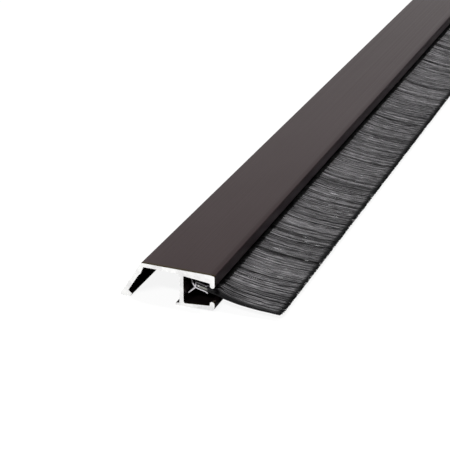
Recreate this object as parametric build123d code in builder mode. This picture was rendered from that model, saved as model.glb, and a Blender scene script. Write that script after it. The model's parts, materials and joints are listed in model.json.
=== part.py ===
"""A rain-shedding brush sweep for the bottom of a door.

An extruded aluminium cover snaps over hidden clips screwed to the door, and a
brush strip slides lengthwise in the channel along its lower edge.

Frame, in millimetres: X runs across the cover, from its sloping rain edge to
the brush tips, Y along the sweep, and Z out of the door. Z = 0 is the door's
face. The origin is on it, at the middle of the sweep's length and width.
"""

import os
from math import atan2, degrees

from build123d import *

# Driving dimensions. "across" is measured from the cover's top corner at the
# rain edge, towards the brush, and "down" from the cover's top face.
length = 914.4
cover_width = 30.0
depth = 15.0
wall = 1.6
rain_run = 9.3
brush_reach = 55.4

# The top face falls gently towards its outer corner
crown_run = 1.7
crown_drop = 0.3
crown_radius = 8.0

# The sloping rain edge, whose foot has a toe that holds the clips
leg_across = 2.1
leg_root_across = 1.95
leg_ridge_across = 2.5
leg_ridge_down = 4.55
leg_ridge_end_down = 5.6
leg_toe_start_down = 12.5
leg_toe_tip = (-4.1, 13.75)
leg_foot_inner = -4.9

# The web, with the second toe, and the brush channel
web_left_top = 16.0
web_left_foot = 15.65
web_right = 17.35
web_toe_tip = 14.1
web_toe_tip_down = 14.05
web_toe_root_down = 13.85
foot_end = 20.0
roof_down = 2.25
roof_end_down = 3.4
lip = 1.9
upper_lip_down = 5.3
lower_lip_down = 11.0
lower_lip_outer = 29.95
channel_floor_down = 13.75
channel_floor_end_down = 12.75
channel_corner_down = 14.5

# The brush strip, set back a little from both ends of the cover
strip_inset = 3.5
sheet = 0.5
wire_radius = 0.4
bundle_half = 0.84
wire_at = (22.0, 7.15)
mouth_at = (25.2, 7.9)
bundle_end_at = (28.1, 8.6)
flex_at = (30.2, 9.1)
tip_down = 12.3
tip_half = 0.9

# The hidden clips
clip_length = 30.0
clip_count = 4
clip_end_margin = 100.0
clip_base = 2.4
clip_left = -3.5
clip_right = 13.5
hook_down = 10.3
hook_wall = 1.1
hook_neck_down = 13.3
rain_hook_tip = (-4.75, 12.5)
web_hook_tip = (14.9, 12.7)
finger_gap = 4.0
screw_spacing = 16.0
screw_hole_radius = 2.1
screw_head_radius = 3.6

middle_across = (brush_reach - rain_run) / 2


def at(across, down):
    """The sketch point at a place given across and down, on a plane facing -Y."""
    return (across - middle_across, depth - down)


def leg_outer(down):
    """Where the rain edge's outer face is, that far down."""
    return -rain_run * down / depth


os.makedirs("parts", exist_ok=True)

# Each corner of the cover's outline and its radius, clockwise from the rain edge
cover_corners = [
    (at(0, 0), 0.4),
    (at(cover_width - crown_run, 0), crown_radius),
    (at(cover_width, crown_drop), 0.4),
    (at(cover_width, upper_lip_down), 0.9),
    (at(cover_width - lip, upper_lip_down), 0.9),
    (at(cover_width - lip, roof_end_down), 0.3),
    (at(web_right, roof_down), 0.4),
    (at(web_right, channel_floor_down), 0.9),
    (at(lower_lip_outer - lip, channel_floor_end_down), 0.3),
    (at(lower_lip_outer - lip, lower_lip_down), 0.9),
    (at(lower_lip_outer, lower_lip_down), 0.9),
    (at(lower_lip_outer, channel_corner_down), 1.2),
    (at(foot_end, depth), 0.5),
    (at(web_toe_tip, depth), 0.2),
    (at(web_toe_tip, web_toe_tip_down), 0.2),
    (at(web_left_foot, web_toe_root_down), 0.3),
    (at(web_left_top, wall), 2.0),
    (at(leg_outer(wall) + leg_root_across, wall), 0.3),
    (at(leg_outer(leg_ridge_down) + leg_ridge_across, leg_ridge_down), 0.15),
    (at(leg_outer(leg_ridge_end_down) + leg_across, leg_ridge_end_down), 0.3),
    (at(leg_outer(leg_toe_start_down) + leg_across, leg_toe_start_down), 0.2),
    (at(*leg_toe_tip), 0.15),
    (at(leg_foot_inner, depth), 0),
    (at(-rain_run, depth), 0.3),
]

with BuildPart() as cover_extrusion:
    with BuildSketch(Plane.XZ):
        with BuildLine():
            FilletPolyline(
                [point for point, radius in cover_corners],
                radius=[radius for point, radius in cover_corners],
                close=True,
            )
        make_face()
    extrude(amount=length / 2, both=True)

# The holder's jaws grip the bristles, and its two wings spring against the channel
holder_paths = [
    [(25.9, 6.45), (25.3, 6.72), (21.1, 5.75), (20.75, 8.05), (25.0, 9.1), (25.6, 9.5)],
    [(20.75, 8.05), (19.6, 6.2), (18.8, 3.05)],
    [(20.75, 8.05), (18.0, 10.65)],
]
strip_length = length - 2 * strip_inset

with BuildPart() as brush_holder:
    with BuildSketch(Plane.XZ):
        for path in holder_paths:
            with BuildLine():
                Polyline([at(*place) for place in path])
                offset(amount=sheet / 2, kind=Kind.ARC)
            make_face()
    extrude(amount=strip_length / 2, both=True)

with BuildPart() as core_wire:
    with BuildSketch(Plane.XZ):
        with Locations(at(*wire_at)):
            Circle(wire_radius)
    extrude(amount=strip_length / 2, both=True)

# The gripped part of the bristles, folded round the wire
with BuildPart() as bristle_root:
    with BuildSketch(Plane.XZ):
        with BuildLine():
            Polyline(at(*wire_at), at(*mouth_at), at(*bundle_end_at))
            offset(amount=bundle_half, kind=Kind.ARC)
        make_face()
        with Locations(at(*wire_at)):
            Circle(wire_radius, mode=Mode.SUBTRACT)
    extrude(amount=strip_length / 2, both=True)

# The free part of the bristles: a flat slab, rounded where it flexes and cut square at the tips
droop = degrees(atan2(tip_down - flex_at[1], brush_reach - flex_at[0]))

with BuildPart() as bristles:
    with BuildSketch(Plane.XZ):
        with Locations(at(*flex_at)):
            Circle(bundle_half)
        with Locations(at(brush_reach - tip_half, tip_down)):
            Rectangle(2 * tip_half, 2 * tip_half, rotation=-droop)
        make_hull()
    extrude(amount=strip_length / 2, both=True)

for name, piece in (
    ("cover_extrusion", cover_extrusion),
    ("brush_holder", brush_holder),
    ("core_wire", core_wire),
    ("bristle_root", bristle_root),
    ("bristles", bristles),
):
    piece.part.label = name
    export_step(piece.part, f"parts/{name}.step")

# Clips, evenly spaced, each with a hook over the rain edge's toe and one over the web's
clip_step = (length - 2 * clip_end_margin) / (clip_count - 1)
clip_top = depth - clip_base
clip_middle = (clip_left + clip_right) / 2
clip_corners = [
    (at(clip_left, depth), 0.3),
    (at(clip_left, hook_neck_down), 0.3),
    (at(*rain_hook_tip), 0.2),
    (at(clip_left, hook_down), 0.3),
    (at(clip_left + hook_wall, hook_down), 0.3),
    (at(clip_left + hook_wall, clip_top), 0.8),
    (at(clip_right - hook_wall, clip_top), 0.8),
    (at(clip_right - hook_wall, hook_down), 0.3),
    (at(clip_right, hook_down), 0.3),
    (at(*web_hook_tip), 0.2),
    (at(clip_right, hook_neck_down), 0.3),
    (at(clip_right, depth), 0.3),
]

for number in range(clip_count):
    middle_y = clip_end_margin - length / 2 + number * clip_step
    with BuildPart() as clip:
        with BuildSketch(Plane.XZ.offset(-middle_y)):
            with BuildLine():
                FilletPolyline(
                    [point for point, radius in clip_corners],
                    radius=[radius for point, radius in clip_corners],
                    close=True,
                )
            make_face()
        extrude(amount=clip_length / 2, both=True)
        base_top = Plane((clip_middle - middle_across, middle_y, clip_base))
        with BuildSketch(base_top):
            Rectangle(2 * cover_width, finger_gap)
        extrude(amount=depth, mode=Mode.SUBTRACT)
        with Locations(base_top):
            with GridLocations(0, screw_spacing, 1, 2):
                CounterSinkHole(screw_hole_radius, screw_head_radius)
    clip.part.label = f"clip_{number + 1}"
    export_step(clip.part, f"parts/clip_{number + 1}.step")
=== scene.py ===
"""The looks of the door sweep: anodised cover, sheet metal holder and black nylon filaments."""

import json
import math

import bpy
import numpy as np
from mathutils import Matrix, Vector


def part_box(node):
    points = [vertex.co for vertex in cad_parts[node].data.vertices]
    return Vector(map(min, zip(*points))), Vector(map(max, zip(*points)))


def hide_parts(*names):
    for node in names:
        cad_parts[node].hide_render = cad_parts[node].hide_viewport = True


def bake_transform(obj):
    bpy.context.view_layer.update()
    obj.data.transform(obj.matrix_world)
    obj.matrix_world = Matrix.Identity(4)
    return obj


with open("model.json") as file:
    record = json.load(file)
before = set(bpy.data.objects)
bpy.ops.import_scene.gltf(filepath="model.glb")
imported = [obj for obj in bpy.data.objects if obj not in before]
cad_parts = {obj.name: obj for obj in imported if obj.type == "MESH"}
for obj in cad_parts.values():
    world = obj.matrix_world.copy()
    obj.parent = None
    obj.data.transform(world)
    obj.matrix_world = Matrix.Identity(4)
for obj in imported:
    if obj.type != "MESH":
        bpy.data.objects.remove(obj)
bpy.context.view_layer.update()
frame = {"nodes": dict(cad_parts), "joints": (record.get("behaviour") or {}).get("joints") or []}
nodes = frame["nodes"]

MM = 0.001
cover_low, cover_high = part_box("cover_extrusion")
strip_low, strip_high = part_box("brush_holder")
fringe_low, fringe_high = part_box("bristles")
wire_low, wire_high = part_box("core_wire")
wire_middle = (wire_low + wire_high) / 2
wire_radius = (wire_high.z - wire_low.z) / 2
flex = Vector(next(joint["pos_m"] for joint in frame["joints"] if joint["name"] == "bristle_flex"))


# Node materials


class Nodes:
    """A new material's node tree, with one Principled shader to be fed."""

    def __init__(self, name):
        self.material = bpy.data.materials.new(name)
        self.material.use_nodes = True
        self.tree = self.material.node_tree
        self.shader = self.tree.nodes["Principled BSDF"]

    def add(self, kind, settings=(), **inputs):
        """Adds a node. An input is an output socket to link, or else the value itself."""
        node = self.tree.nodes.new(kind)
        for key, value in dict(settings).items():
            setattr(node, key, value)
        for key, value in inputs.items():
            self.feed(node.inputs[key.replace("_", " ")], value)
        return node

    def feed(self, socket, value):
        if isinstance(value, bpy.types.NodeSocket):
            self.tree.links.new(value, socket)
        else:
            socket.default_value = value

    def shade(self, **inputs):
        """Feeds the Principled shader."""
        for key, value in inputs.items():
            self.feed(self.shader.inputs[key.replace("_", " ")], value)

    def bump(self, height, strength, distance):
        bump = self.add("ShaderNodeBump", Height=height, Strength=strength, Distance=distance)
        self.shade(Normal=bump.outputs["Normal"])

    def place(self):
        """The place on the surface in the row frame, in metres."""
        return self.add("ShaderNodeTexCoord").outputs["Object"]

    def stored(self, name):
        """A number that the mesh keeps for each of its points."""
        return self.add("ShaderNodeAttribute", {"attribute_name": name}).outputs["Fac"]

    def noise(self, scale, detail=2.0):
        """Noise from 0 to 1, with its own number of grains in a metre along each axis."""
        place = self.add("ShaderNodeMapping", Vector=self.place(), Scale=scale).outputs["Vector"]
        return self.add("ShaderNodeTexNoise", Vector=place, Scale=1.0, Detail=detail).outputs["Fac"]

    def math(self, operation, a, b=0.0):
        node = self.add("ShaderNodeMath", {"operation": operation})
        self.feed(node.inputs[0], a)
        self.feed(node.inputs[1], b)
        return node.outputs[0]

    def spread(self, value, low, high, to_low=0.0, to_high=1.0):
        """Carries a value from one range to another, and keeps it inside."""
        limits = {"From_Min": low, "From_Max": high, "To_Min": to_low, "To_Max": to_high}
        return self.add("ShaderNodeMapRange", Value=value, **limits).outputs["Result"]

    def mix(self, factor, a, b):
        """Mixes two colours, each an output socket or three numbers."""
        node = self.add("ShaderNodeMix", {"data_type": "RGBA"}, Factor=factor)
        ends = [socket for socket in node.inputs if socket.type == "RGBA"]
        for socket, value in zip(ends, (a, b)):
            self.feed(socket, value if isinstance(value, bpy.types.NodeSocket) else (*value, 1.0))
        return next(socket for socket in node.outputs if socket.type == "RGBA")

    def blend(self, factor, a, b):
        """Mixes two numbers."""
        node = self.add("ShaderNodeMix", {"data_type": "FLOAT"}, Factor=factor)
        ends = [socket for socket in node.inputs if socket.type == "VALUE" and socket.name in "AB"]
        for socket, value in zip(ends, (a, b)):
            self.feed(socket, value)
        return node.outputs["Result"]

    def cut_face(self):
        """1 on the faces sawn square across the sweep, and 0 elsewhere."""
        normal = self.add("ShaderNodeNewGeometry").outputs["True Normal"]
        facing = self.add("ShaderNodeSeparateXYZ", Vector=normal).outputs["Y"]
        return self.math("GREATER_THAN", self.math("ABSOLUTE", facing), 0.9)


# A sawn face scatters light nearly as a matt surface does
SAWN_METALLIC = 0.35

# Beside the cut the anodising is tinted an olive brown, fully within the first distance and not at
# all beyond the second.
TINTED = 0.6 * MM
UNTINTED = 1.7 * MM


def bronze_anodised():
    """Satin dark bronze along the extrusion, with bare sawn aluminium on its two cut ends."""
    m = Nodes("bronze_anodised")
    cut = m.cut_face()
    along = m.add("ShaderNodeSeparateXYZ", Vector=m.place()).outputs["Y"]
    to_end = m.math("SUBTRACT", cover_high.y, m.math("ABSOLUTE", along))
    olive_tint = m.spread(to_end, TINTED, UNTINTED, 1.0, 0.0)

    die_lines = m.noise((2600.0, 3.0, 2600.0), detail=3.0)
    cloud = m.noise((30.0, 12.0, 30.0), detail=3.0)
    bronze = m.mix(m.spread(cloud, 0.3, 0.7), (0.069, 0.048, 0.049), (0.081, 0.058, 0.060))
    bronze = m.mix(m.spread(die_lines, 0.35, 0.75, 0.0, 0.25), bronze, (0.047, 0.031, 0.032))
    bronze = m.mix(olive_tint, bronze, (0.055, 0.040, 0.012))
    saw_marks = m.noise((900.0, 1.0, 260.0))
    burr = m.spread(m.noise((260.0, 1.0, 260.0), detail=3.0), 0.45, 0.65)
    sawn = m.mix(m.math("MULTIPLY", saw_marks, burr), (0.97, 0.97, 0.96), (0.68, 0.67, 0.68))
    satin = m.spread(die_lines, 0.3, 0.7, 0.30, 0.38)
    rough = m.spread(saw_marks, 0.3, 0.7, 0.44, 0.60)
    m.shade(
        Base_Color=m.mix(cut, bronze, sawn),
        Metallic=m.blend(cut, 1.0, SAWN_METALLIC),
        Roughness=m.blend(cut, satin, rough),
    )
    m.bump(die_lines, 0.25, 0.02 * MM)
    return m.material


def sheet_metal(name, dark, light, roughness):
    """Bare thin metal, with fine rolling lines along the strip."""
    m = Nodes(name)
    lines = m.noise((3000.0, 8.0, 3000.0), detail=3.0)
    m.shade(
        Base_Color=m.mix(lines, dark, light),
        Metallic=m.blend(m.cut_face(), 1.0, SAWN_METALLIC),
        Roughness=m.spread(lines, 0.3, 0.7, roughness - 0.06, roughness + 0.06),
    )
    m.bump(lines, 0.2, 0.01 * MM)
    return m.material


def black_nylon():
    """Filament nylon: near black and a little glossy, greyer on some filaments than on others. Painted
    shadow blackens the roots under the lips, and painted light near the lips fades to painted shade at the
    tips.
    """
    m = Nodes("black_nylon")
    reach = m.stored("reach")
    mottled = m.spread(m.noise((230.0, 1500.0, 230.0), detail=3.0), 0.35, 0.65, 0.4, 1.15)
    # Painted shadow: black inside the jaws and on the roots just under the lips
    painted_lip_shadow = m.spread(reach, 0.002, 0.010, 0.0, 1.0)
    # Painted light near the lips, fading to painted shade towards the tips
    painted_light_near_lips = m.spread(reach, 0.0, 1.0, 1.32, 0.66)
    # Painted shade on the tips
    painted_tip_shade = m.spread(reach, 0.93, 0.98, 1.0, 0.05)
    # The stored tone holds each filament's random grey and the painted shade laid on it when the brush is
    # built
    grey = m.stored("tone")
    for share in (mottled, painted_lip_shadow, painted_light_near_lips, painted_tip_shade):
        grey = m.math("MULTIPLY", grey, share)
    fibre = m.mix(grey, (0.003, 0.003, 0.0034), (0.178, 0.172, 0.180))
    m.shade(
        Base_Color=m.mix(m.stored("sealed"), fibre, (0.21, 0.21, 0.19)),
        Roughness=m.spread(grey, 0.0, 0.3, 0.85, 0.38),
        Specular_IOR_Level=0.2,
    )
    return m.material


def moulded_nylon():
    """The clips: dark moulded plastic with a fine eroded grain."""
    m = Nodes("moulded_nylon")
    grain = m.noise((2200.0, 2200.0, 2200.0))
    m.shade(
        Base_Color=m.mix(grain, (0.030, 0.030, 0.033), (0.046, 0.046, 0.050)),
        Roughness=m.spread(grain, 0.3, 0.7, 0.48, 0.62),
    )
    m.bump(grain, 0.25, 0.03 * MM)
    return m.material


def dress(node, material):
    """Gives a CAD node a material of its own."""
    mesh = nodes[node].data
    mesh.materials.clear()
    mesh.materials.append(material)


dress("cover_extrusion", bronze_anodised())
dress("brush_holder", sheet_metal("holder_sheet", (0.54, 0.52, 0.55), (0.72, 0.70, 0.74), 0.34))
dress("core_wire", sheet_metal("core_wire", (0.55, 0.55, 0.56), (0.70, 0.70, 0.71), 0.30))
clip_material = moulded_nylon()
for clip in sorted(node for node in nodes if node.startswith("clip_")):
    dress(clip, clip_material)


# The brush: filaments folded in half round the wire, with both legs out between the lips.
# The strip is cut at its near and its far end. "free" is 0 at the lips and 1 at a leg's tip.

FILAMENTS_PER_MM = 8.0
FILAMENT_RADIUS = 0.11 * MM

# Each filament is a tube with this many sides, and the brush is made in this many pieces
SIDES = 3
PIECES = 8

# A leg's points: in the jaws, as shares of their length, and then evenly along its free part
JAW_POINTS = (0.75, 0.95)
FREE_POINTS = 11

# More filaments crowd against each cut, from a first one just inside it
END_EXTRA = 40
END_FIRST = 0.1 * MM
END_CROWD = 5 * MM

# How deep in the bundle a filament lies, from 0 in its middle to 1 at its outside, and how far behind
# the wire the outermost ones are folded.
DEPTHS = (0.15, 1.0)
FOLD_DEPTH = 0.35 * MM

# Half the thickness of the bundle in the jaws and at the tips. At a cut its free part thins out.
GRIPPED_HALF = 0.78 * MM
TIP_HALF = 0.85 * MM
END_THINNING = 0.8
END_THINNING_RUN = 1.4 * MM

# The fringe leaves the lips at this slope. The upper legs puff up over the lip, and sink back within
# about this share of the free run.
START_SLOPE = -0.205
PUFF = 1.15 * MM
PUFF_SHARE = 0.3

# The tips lean towards the far end, by less near the cuts, and splay out past both of them
LEAN = 2.9 * MM
LEAN_NEAR_RUN = 10 * MM
LEAN_FAR_RUN = 15 * MM
LEAN_FAR_LOSS = 0.5
LEAN_POWER = 1.1
SPLAY = 1.0 * MM
SPLAY_RUN = 6 * MM
SWAY = 0.35 * MM
SWAY_LENGTHS = (9 * MM, 17 * MM, 41 * MM)

# At each cut the legs bow away from the brush on their way out, and the tips are bevelled
BOW = 2.8 * MM
BOW_RUN = 4 * MM
BEVEL = 0.8 * MM
BEVEL_RUN = 1.6 * MM

# Each leg's own scatter, and that of the few legs that stray from the others
TIP_SCATTER = 0.06 * MM
LIFT_SCATTER = 0.06 * MM
LEAN_SCATTER = 0.10 * MM
STRAY_SHARE = 0.008
STRAY_LIFT = 0.4 * MM
STRAY_LEAN = 0.6 * MM

# A lift above the plain fringe is greatest a little beyond halfway out
LIFT_SHAPE = 1.25

# The fine waves in a leg: how high, and how many radians of them there are in its free part
CRIMP_ACROSS = 0.07 * MM
CRIMP_ACROSS_TURN = 23
CRIMP_UP = 0.08 * MM
CRIMP_UP_TURN = 19
TUFT_WAVE = 0.12 * MM
TUFT_WAVE_TURN = 11

# Tufts of uneven width share a tone, a wave, a lift and a lean. There are more than the strip needs.
TUFTS = 700
TUFT_WIDTHS = (0.9 * MM, 2.4 * MM)
TUFT_TONE = 0.06
TUFT_PHASE = 2.0
TUFT_LIFT = 0.08 * MM
TUFT_LEAN = 0.11 * MM

# The lower legs are out of step with the upper ones, their tufts by half of this
TUFT_SHIFT = 1.6 * MM

# Strands are narrower: legs that stick together, gathered towards the strand's middle. There are
# more of these than the strip needs, too.
STRANDS = 4000
STRAND = 0.36 * MM
STRAND_LIFT = 0.25 * MM
STRAND_LEAN = 0.08 * MM
GATHERINGS = (0.45, 0.8)
LOWER_GATHERING = 0.3
GATHERING_RUN = 6 * MM

# How grey each pair of strands is. Most of the even pairs are dark. The tones are then evened out over
# a few pairs, so that no wide stretch of the brush is much lighter or darker than the rest.
PAIR_TONE = 1.1
PAIR_TONE_SCATTER = 0.3
PAIR_TONES = (0.4, 1.8)
DARK_SHARE = 0.75
DARK_TONE = 0.25
EVENED_PAIRS = 3
EVENED_SHARE = 0.9
LEAST_STRAND_TONE = 0.05

# How grey a filament is, as a share of its strand's tone, and what is left of that under painted
# shade in the middle of the bundle and on the lower legs.
TONE = 0.5
TONE_SCATTER = 0.20
TONES = (0.02, 1)
INNER_SHADED_TONE = 0.4
LOWER_SHADED_TONE = 0.35

# Painted shade darkens the filaments at a cut, and a patch of the fringe near it, close to the lips
END_SHADE = 0.85
END_SHADE_RUN = 1.3 * MM
SHADE_PATCH_DARKNESS = 0.8
SHADE_PATCH_AT = 3.5 * MM
SHADE_PATCH_RUN = 4.5 * MM
SHADE_PATCH_FREE_AT = 0.2
SHADE_PATCH_FREE_RUN = 0.2

# Near a cut, the painted lip shadow on the root of the free part shortens to nothing
ROOT_LIT = 0.02
ROOT_LIT_RUN = 3 * MM

# Right at a cut, the filaments are sealed pale inside the jaws, apart from the outermost ones
SEAL = 0.5 * MM
SEALED_DEPTH = 0.7
SEALED_JAW = 0.8

random = np.random.default_rng(11)
leg_reach = fringe_high.x - wire_middle.x
jaw_mark = (strip_high.x - wire_middle.x) / leg_reach
free_start = (flex.x - wire_middle.x) / leg_reach
jaw_marks = [share * jaw_mark for share in JAW_POINTS]
leg_marks = np.concatenate([[0.0], jaw_marks, np.linspace(free_start, 1.0, FREE_POINTS)])
tip_z = fringe_low.z + TIP_HALF
free_run = fringe_high.x - flex.x
curl = (tip_z - flex.z - START_SLOPE * free_run) / free_run**2


def fading(distance, run):
    """1 at no distance, falling off over a run."""
    return np.exp(-distance / run)


def hump(value, middle, width):
    """1 at the middle, falling off smoothly to both sides."""
    return np.exp(-(((value - middle) / width) ** 2))


def waves(y, lengths, seed):
    """A smooth uneven wave along the sweep, mostly between -1 and 1."""
    phases = np.random.default_rng(seed).uniform(0, 2 * math.pi, len(lengths))
    return sum(np.sin(2 * math.pi * y / n + p) for n, p in zip(lengths, phases)) / len(lengths) ** 0.5


def per_tuft(spread):
    """One random number for each tuft."""
    return random.normal(0, spread, len(tuft_edges) + 1)


tuft_edges = strip_low.y + np.cumsum(random.uniform(*TUFT_WIDTHS, TUFTS))
tuft_tone = per_tuft(TUFT_TONE)
tuft_phase = per_tuft(TUFT_PHASE)
tuft_lift = {side: per_tuft(TUFT_LIFT) for side in (1, -1)}
tuft_lean = {side: per_tuft(TUFT_LEAN) for side in (1, -1)}

pair_tone = np.clip(random.normal(PAIR_TONE, PAIR_TONE_SCATTER, STRANDS // 2), *PAIR_TONES)
dark_pairs = np.zeros(len(pair_tone), dtype=bool)
dark_pairs[::2] = random.uniform(0, 1, len(pair_tone) // 2) < DARK_SHARE
pair_tone[dark_pairs] = DARK_TONE
nearby_mean = np.convolve(pair_tone, np.full(EVENED_PAIRS, 1 / EVENED_PAIRS), "same")
pair_tone += EVENED_SHARE * (pair_tone.mean() - nearby_mean)
strand_tone = np.maximum(np.repeat(pair_tone, 2), LEAST_STRAND_TONE)
strand_pull = random.uniform(*GATHERINGS, STRANDS)
strand_lift = random.normal(0, STRAND_LIFT, STRANDS)
strand_lean = random.normal(0, STRAND_LEAN, STRANDS)


def to_cuts(root_y):
    """How far each root is from the strip's near end and from its far end."""
    return root_y - strip_low.y, strip_high.y - root_y


def strand_of(root_y, side):
    """The strand a leg sticks to, and its shift. The lower strands lie behind the upper ones' gaps."""
    shift = 0.5 if side < 0 else 0.0
    return ((root_y - strip_low.y) / STRAND + shift).astype(int), shift


def legs(root_y, side, depth):
    """The points of one leg of each filament, from the wire to its tip. side is 1 for the upper leg."""
    count = len(root_y)
    strand, shift = strand_of(root_y, side)
    tuft = np.searchsorted(tuft_edges, root_y + shift * TUFT_SHIFT)
    stray = random.uniform(0, 1, count) < STRAY_SHARE
    to_near, to_far = to_cuts(root_y)
    to_cut = np.minimum(to_near, to_far)

    # Outwards
    tip_x = fringe_high.x - BEVEL * fading(to_cut, BEVEL_RUN) + random.normal(0, TIP_SCATTER, count)
    x = wire_middle.x + leg_marks * (tip_x[:, None] - wire_middle.x)
    beyond = x - flex.x
    free = np.clip(beyond / free_run, 0, 1)

    # Up and down
    z = flex.z + START_SLOPE * beyond + curl * np.maximum(beyond, 0) ** 2
    at_end = fading(to_cut, END_THINNING_RUN)
    half = GRIPPED_HALF + (TIP_HALF - GRIPPED_HALF) * free
    half -= END_THINNING * GRIPPED_HALF * at_end[:, None] * free
    z = z + side * half * depth[:, None]
    if side > 0:
        z = z + PUFF * depth[:, None] * fading(free, PUFF_SHARE) * (leg_marks >= free_start)
    lift = tuft_lift[side][tuft] + strand_lift[strand] + random.normal(0, LIFT_SCATTER, count)
    lift += stray * random.normal(0, STRAY_LIFT, count)
    z = z + (lift * (1 - at_end) ** 2)[:, None] * free * (LIFT_SHAPE - free)

    # Along the sweep
    lean = LEAN * (1 - fading(to_near, LEAN_NEAR_RUN)) * (1 - LEAN_FAR_LOSS * fading(to_far, LEAN_FAR_RUN))
    lean += SPLAY * (fading(to_far, SPLAY_RUN) - fading(to_near, SPLAY_RUN))
    lean += SWAY * waves(root_y, SWAY_LENGTHS, 7)
    lean += tuft_lean[side][tuft] + strand_lean[strand] + random.normal(0, LEAN_SCATTER, count)
    lean += stray * random.normal(0, STRAY_LEAN, count)
    bow = BOW * (fading(to_far, BOW_RUN) - fading(to_near, BOW_RUN))
    gather = (strip_low.y + (strand + 0.5 - shift) * STRAND - root_y) * strand_pull[strand]
    gather *= 1 - fading(to_cut, GATHERING_RUN)
    gather *= 1.0 if side > 0 else LOWER_GATHERING
    y = root_y[:, None] + lean[:, None] * free**LEAN_POWER + gather[:, None] * np.sqrt(free)
    y = y + bow[:, None] * np.sqrt(free) * (1 - free)

    # The fine waves
    crimp = random.uniform(0, 2 * math.pi, (count, 1))
    y = y + CRIMP_ACROSS * np.sin(crimp + CRIMP_ACROSS_TURN * free) * free
    y = y + TUFT_WAVE * np.sin(tuft_phase[tuft][:, None] + TUFT_WAVE_TURN * free) * free
    z = z + CRIMP_UP * np.cos(crimp + CRIMP_UP_TURN * free) * free
    return np.stack([x, y, z], axis=2), free


def tubes(paths):
    """Closed tubes along paths, an array of filament by point by axis."""
    count, marks = paths.shape[:2]
    along = np.gradient(paths, axis=1)
    along /= np.linalg.norm(along, axis=2, keepdims=True)
    flat = np.array([0.0, 1.0, 0.0]) - along * along[:, :, 1:2]
    flat /= np.linalg.norm(flat, axis=2, keepdims=True)
    up = np.cross(along, flat)
    turn = 2 * math.pi * np.arange(SIDES) / SIDES + random.uniform(0, 2 * math.pi, (count, 1))
    turn = turn[:, None, :, None]
    ring = FILAMENT_RADIUS * (np.cos(turn) * flat[:, :, None, :] + np.sin(turn) * up[:, :, None, :])
    points = (paths[:, :, None, :] + ring).reshape(-1, 3)
    corner = np.arange(count * marks * SIDES).reshape(count, marks, SIDES)
    ahead = np.roll(corner, -1, axis=2)
    walls = np.stack([corner[:, :-1], ahead[:, :-1], ahead[:, 1:], corner[:, 1:]], axis=3)
    caps = np.concatenate([corner[:, 0, ::-1], corner[:, -1]])
    return points, walls.reshape(-1, 4), caps


def tube_mesh(name, points, walls, caps):
    """The tubes' mesh, smooth along the walls and flat on the caps."""
    mesh = bpy.data.meshes.new(name)
    mesh.vertices.add(len(points))
    mesh.vertices.foreach_set("co", points.ravel())
    loops = np.concatenate([walls.ravel(), caps.ravel()])
    mesh.loops.add(len(loops))
    mesh.loops.foreach_set("vertex_index", loops)
    sizes = np.concatenate([np.full(len(walls), 4), np.full(len(caps), SIDES)])
    mesh.polygons.add(len(sizes))
    mesh.polygons.foreach_set("loop_start", np.concatenate([[0], np.cumsum(sizes)[:-1]]))
    mesh.polygons.foreach_set("use_smooth", sizes == 4)
    mesh.update(calc_edges=True)
    return mesh


def store(mesh, name, values):
    """Keeps a number for the material to read, the same all round each point of a filament."""
    values = np.repeat(values.astype(np.float32).ravel(), SIDES)
    mesh.attributes.new(name, "FLOAT", "POINT").data.foreach_set("value", values)


def tone_and_painted_shade(root_y, to_cut, depth, free):
    """How grey each point of each filament is: its random tone, darkened by painted shade in the bundle's
    middle, on the lower legs, at the cuts and in a patch near the lips.
    """
    tuft = np.searchsorted(tuft_edges, root_y)
    strand, _ = strand_of(root_y, 1)
    tone = (TONE + tuft_tone[tuft] + random.normal(0, TONE_SCATTER, len(root_y))) * strand_tone[strand]
    # Painted shade in the middle of the bundle
    tone = np.clip(tone * (INNER_SHADED_TONE + (1 - INNER_SHADED_TONE) * depth), *TONES)
    # Painted shade on the filaments at a cut
    tone *= 1 - END_SHADE * hump(to_cut, 0, END_SHADE_RUN)
    # Painted shade on the lower legs
    painted_leg_shade = np.concatenate([np.ones(leg_marks.size), np.full(leg_marks.size + 1, LOWER_SHADED_TONE)])
    # Painted shade in a patch of the fringe near a cut, close to the lips
    shade_patch = hump(to_cut, SHADE_PATCH_AT, SHADE_PATCH_RUN)[:, None] * hump(free, SHADE_PATCH_FREE_AT, SHADE_PATCH_FREE_RUN)
    return tone[:, None] * painted_leg_shade * (1 - SHADE_PATCH_DARKNESS * shade_patch)


def filaments(name, root_y):
    """One piece of the brush, with a filament folded round the wire at each root."""
    count = len(root_y)
    depth = random.uniform(*DEPTHS, count)
    upper, upper_free = legs(root_y, 1, depth)
    lower, lower_free = legs(root_y, -1, depth)
    back_x = wire_middle.x - wire_radius - FOLD_DEPTH * depth
    fold = np.stack([back_x, root_y, np.full(count, wire_middle.z)], axis=1)
    paths = np.concatenate([upper[:, ::-1], fold[:, None], lower], axis=1)
    free = np.concatenate([upper_free[:, ::-1], np.zeros((count, 1)), lower_free], axis=1)
    mesh = tube_mesh(name, *tubes(paths))

    to_cut = np.minimum(*to_cuts(root_y))
    gripped = paths[:, :, 0] < wire_middle.x + SEALED_JAW * jaw_mark * leg_reach
    sealed = gripped & ((to_cut < SEAL) & (depth < SEALED_DEPTH))[:, None]
    store(mesh, "tone", tone_and_painted_shade(root_y, to_cut, depth, free))
    # The shift makes the painted lip shadow shorten to nothing near a cut
    store(mesh, "reach", free + ROOT_LIT * fading(to_cut, ROOT_LIT_RUN)[:, None])
    store(mesh, "sealed", sealed)
    piece = bpy.data.objects.new(name, mesh)
    bpy.context.scene.collection.objects.link(piece)
    return piece


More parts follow.
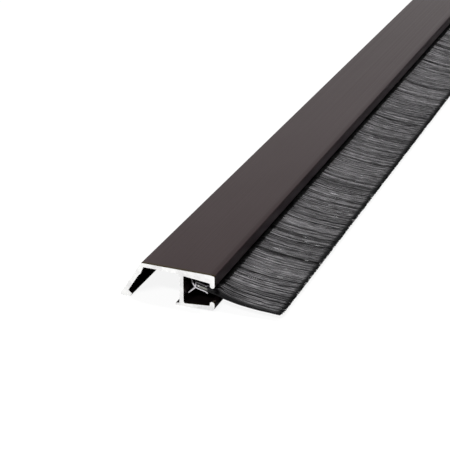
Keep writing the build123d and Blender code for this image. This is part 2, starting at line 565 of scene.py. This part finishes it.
# Evenly spaced roots, each somewhere in its own space, and the crowds at the two cuts
strip_length = strip_high.y - strip_low.y
filament_count = int(strip_length / MM * FILAMENTS_PER_MM)
spacing = strip_length / filament_count
roots = strip_low.y + spacing * (np.arange(filament_count) + random.uniform(0.1, 0.9, filament_count))
crowd = END_FIRST + END_CROWD * random.uniform(0, 1, END_EXTRA) ** 2
roots = np.sort(np.concatenate([roots, strip_low.y + crowd, strip_high.y - crowd]))

nylon = black_nylon()
for number, part in enumerate(np.array_split(roots, PIECES), 1):
    piece = filaments(f"filaments_{number}", part)
    piece.data.materials.append(nylon)
    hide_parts("bristles", "bristle_root")
    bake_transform(piece)


# The camera, placed from the near top corner of the cover's rain edge

# How far out the rain edge slopes, as in the CAD model
RAIN_RUN = 9.3 * MM
CAMERA_FROM_CORNER = Vector((0.2048, -0.4250, 0.2323))
DEGREES_DOWN = 24.7
DEGREES_LEFT = 21.9
FOCAL_LENGTH = 111.3

camera = bpy.data.objects.new("camera", bpy.data.cameras.new("camera"))
bpy.context.scene.collection.objects.link(camera)
near_corner = Vector((cover_low.x + RAIN_RUN, cover_low.y, cover_high.z))
camera.location = near_corner + CAMERA_FROM_CORNER
camera.rotation_euler = (math.radians(90 - DEGREES_DOWN), 0, math.radians(DEGREES_LEFT))
camera.data.lens = FOCAL_LENGTH
camera.data.clip_start = 0.01
camera.data.clip_end = 50
bpy.context.scene.camera = camera


# A pale floor that the camera sees nearly shadowless, and soft studio light

FLOOR_HALF = 12.0

# The floor bounces little light onto the object. The camera sees it paler, mostly covered by a glow.
FLOOR_BOUNCE = 0.07
FLOOR_SEEN = 0.26
FLOOR_GLOW = 1.12
FLOOR_GLOW_SHARE = 0.8

# The sky's strength as a light, and as the camera sees it
SKY_LIGHT = 0.05
SKY_SEEN = 0.93


def paper_white():
    """White paper, with a glow for the camera alone that washes its shadows out."""
    m = Nodes("floor_paper")
    seen = m.add("ShaderNodeLightPath").outputs["Is Camera Ray"]
    paper = m.add("ShaderNodeBsdfDiffuse", Color=m.spread(seen, 0, 1, FLOOR_BOUNCE, FLOOR_SEEN))
    glow = m.add("ShaderNodeEmission", Color=(1.0, 1.0, 1.0, 1.0), Strength=FLOOR_GLOW)
    both = m.add("ShaderNodeMixShader", Fac=m.math("MULTIPLY", seen, FLOOR_GLOW_SHARE))
    m.feed(both.inputs[1], paper.outputs[0])
    m.feed(both.inputs[2], glow.outputs[0])
    m.feed(m.tree.nodes["Material Output"].inputs["Surface"], both.outputs[0])
    m.tree.nodes.remove(m.shader)
    return m.material


floor_mesh = bpy.data.meshes.new("floor")
floor_signs = [(-1, -1), (1, -1), (1, 1), (-1, 1)]
floor_mesh.from_pydata([(x * FLOOR_HALF, y * FLOOR_HALF, 0) for x, y in floor_signs], [], [(0, 1, 2, 3)])
floor_mesh.materials.append(paper_white())
floor = bpy.data.objects.new("floor", floor_mesh)
bpy.context.scene.collection.objects.link(floor)

world = bpy.data.worlds.new("studio")
bpy.context.scene.world = world
world.use_nodes = True
tree = world.node_tree
background = tree.nodes["Background"]
background.inputs["Color"].default_value = (1.0, 1.0, 1.0, 1.0)
strength = tree.nodes.new("ShaderNodeMapRange")
strength.inputs["To Min"].default_value = SKY_LIGHT
strength.inputs["To Max"].default_value = SKY_SEEN
tree.links.new(tree.nodes.new("ShaderNodeLightPath").outputs["Is Camera Ray"], strength.inputs["Value"])
tree.links.new(strength.outputs["Result"], background.inputs["Strength"])


def soft_light(name, place, aim, size, power):
    """A soft box, width by height in metres, with its power in watts."""
    light = bpy.data.lights.new(name, "AREA")
    light.shape = "RECTANGLE"
    light.size, light.size_y = size
    light.energy = power
    lamp = bpy.data.objects.new(name, light)
    lamp.location = place
    lamp.rotation_euler = (Vector(aim) - Vector(place)).to_track_quat("-Z", "Y").to_euler()
    lamp.visible_camera = False
    bpy.context.scene.collection.objects.link(lamp)


near_end = (0, cover_low.y, 0)
soft_light("key", place=(0.03, 0.0, 1.5), aim=(0, 0, 0), size=(0.30, 2.0), power=60)
soft_light("backdrop", place=(-1.2, 2.6, 0.9), aim=(0, 0, 0), size=(3.0, 1.6), power=8.6)
soft_light("front", place=(-0.15, cover_low.y - 0.95, 1.10), aim=near_end, size=(0.6, 0.12), power=39)

bpy.context.scene.view_settings.view_transform = "Standard"
